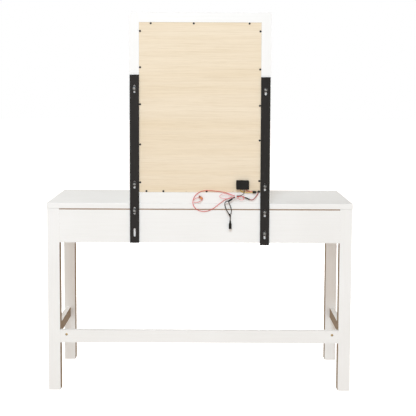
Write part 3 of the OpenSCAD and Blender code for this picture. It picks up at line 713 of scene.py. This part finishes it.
def wound(name, start, end, profile, materials):
    """A lumpy turned piece from start to end, in millimetres, for wound tape.

    The profile is (part of the way, radius); each material gets its share of it.
    """
    start, end = Vector(start) * MM, Vector(end) * MM
    run = end - start
    turn = run.to_track_quat("Z", "Y").to_matrix()
    bm = bmesh.new()
    rings = []
    for along, radius in profile:
        ring = []
        for i in range(SPLICE_SIDES):
            angle = 2 * math.pi * i / SPLICE_SIDES
            lump = 1.0 + LUMP_HEIGHT * math.sin(LUMPS * angle + LUMP_TWIST * along)
            side = Vector((math.cos(angle), math.sin(angle), 0.0)) * radius * lump * MM
            ring.append(bm.verts.new(start + run * along + turn @ side))
        rings.append(ring)
    for k, (a, b) in enumerate(zip(rings, rings[1:])):
        for i in range(SPLICE_SIDES):
            j = (i + 1) % SPLICE_SIDES
            face = bm.faces.new((a[i], a[j], b[j], b[i]))
            face.material_index = k * len(materials) // len(rings)
            face.smooth = True
    bm.faces.new(list(reversed(rings[0])))
    bm.faces.new(rings[-1])
    mesh = bpy.data.meshes.new(name)
    bm.to_mesh(mesh)
    bm.free()
    for material in materials:
        mesh.materials.append(material)
    return placed(name, mesh)


# A small taped splice covers the turn of the curl, brown above and orange below.
TAPE = [
    insulation("tape_orange", (0.62, 0.20, 0.05), (0.72, 0.30, 0.09)),
    insulation("tape_brown", (0.20, 0.035, 0.015), (0.34, 0.07, 0.03)),
]
SPLICE_PROFILE = [
    (0.0, 1.3), (0.06, 2.6), (0.2, 4.1), (0.42, 4.7), (0.5, 4.3), (0.58, 4.8),
    (0.8, 4.3), (0.94, 2.8), (1.0, 1.3),
]
splice = wound(
    "curl_splice", (-9.5, 257.2, 767.5), (3.0, 257.8, 780.5), SPLICE_PROFILE, TAPE
)
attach(splice, "desk")

for piece, start, length, diameter, far_end in WIRES:
    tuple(start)


# ---------------------------------------------------------------- floor and light
FLOOR_HALF = 30.0
FLOOR_GLOW = 0.78


def stage_floor():
    """A pale floor that runs to the horizon and looks as white as the backdrop.

    It throws no light up at the table: the world's fill stands for that light.
    """
    mesh = bpy.data.meshes.new("floor")
    corners = [
        (x * FLOOR_HALF, y * FLOOR_HALF, 0.0)
        for x, y in ((-1, -1), (1, -1), (1, 1), (-1, 1))
    ]
    mesh.from_pydata(corners, [], [(0, 1, 2, 3)])
    look = Look(
        "floor", 0.9, Base_Color=(0.9, 0.9, 0.9, 1.0),
        Emission_Color=(*WHITE, 1.0), Emission_Strength=FLOOR_GLOW,
    )
    mesh.materials.append(look.mat)
    obj = placed("floor", mesh)
    obj.visible_diffuse = False


def area_light(name, place, target, size, power, colour, glossy=True):
    """A soft box aimed at the target; glossy says if reflections show it."""
    data = bpy.data.lights.new(name, "AREA")
    data.shape = "RECTANGLE"
    data.size, data.size_y = size
    data.energy = power
    data.color = colour
    obj = placed(name, data)
    obj.location = place
    aim = Vector(target) - Vector(place)
    obj.rotation_mode = "QUATERNION"
    obj.rotation_quaternion = aim.to_track_quat("-Z", "Y")
    obj.visible_glossy = glossy


WARM = (1.0, 0.922, 0.943)
COOL = (0.708, 0.878, 1.0)
DAY = (0.95, 0.985, 1.0)
FILL = (0.638, 0.57, 0.508)
TABLE_BACK = (0.0, 0.25, 0.75)
TABLE_FRONT = (0.0, -0.25, 0.8)
stage_floor()
area_light("key_low", (0.4, 6.5, 1.8), TABLE_BACK, (1.6, 1.6), 42, WARM)
area_light("key_high", (0.35, 4.6, 4.2), TABLE_BACK, (1.2, 1.2), 147, COOL)
area_light("front", (0.0, -4.9, 2.2), TABLE_FRONT, (0.9, 1.6), 102, DAY, False)
for name, side, power in (("side_right", 1, 68), ("side_left", -1, 11)):
    area_light(
        name, (side * 4.0, 0.3, 3.0), (side * 0.3, 0.0, 0.6), (1.4, 1.4), power, DAY
    )


def studio_world():
    """White where the camera looks, and an even warm fill as light on the table.

    Reflections show mid grey, and light grey towards the left and the right.
    """
    world = bpy.data.worlds.new("studio")
    world.use_nodes = True
    scene.world = world
    tree = world.node_tree
    tree.nodes.clear()
    new, link = tree.nodes.new, tree.links.new
    out = new("ShaderNodeOutputWorld")
    rays = new("ShaderNodeLightPath")

    def plain(colour):
        node = new("ShaderNodeBackground")
        node.inputs["Color"].default_value = (*colour, 1.0)
        return node.outputs["Background"]

    def lighter_at_sides(middle, sides):
        """Both are (distance along X, colour), for a direction one long."""
        split = new("ShaderNodeSeparateXYZ")
        link(new("ShaderNodeTexCoord").outputs["Generated"], split.inputs["Vector"])
        aside = new("ShaderNodeMath")
        aside.operation = "ABSOLUTE"
        link(split.outputs["X"], aside.inputs[0])
        ramp = new("ShaderNodeValToRGB")
        link(aside.outputs["Value"], ramp.inputs["Fac"])
        for element, (position, colour) in zip(ramp.color_ramp.elements, (middle, sides)):
            element.position = position
            element.color = (*colour, 1.0)
        node = new("ShaderNodeBackground")
        link(ramp.outputs["Color"], node.inputs["Color"])
        return node.outputs["Background"]

    def chosen(factor, low, high):
        node = new("ShaderNodeMixShader")
        link(factor, node.inputs["Fac"])
        link(low, node.inputs[1])
        link(high, node.inputs[2])
        return node.outputs["Shader"]

    mirrored = lighter_at_sides((0.1, (0.27, 0.27, 0.27)), (0.7, (0.72, 0.73, 0.74)))
    unseen = chosen(rays.outputs["Is Glossy Ray"], plain(FILL), mirrored)
    everything = chosen(rays.outputs["Is Camera Ray"], unseen, plain(WHITE))
    link(everything, out.inputs["Surface"])


studio_world()
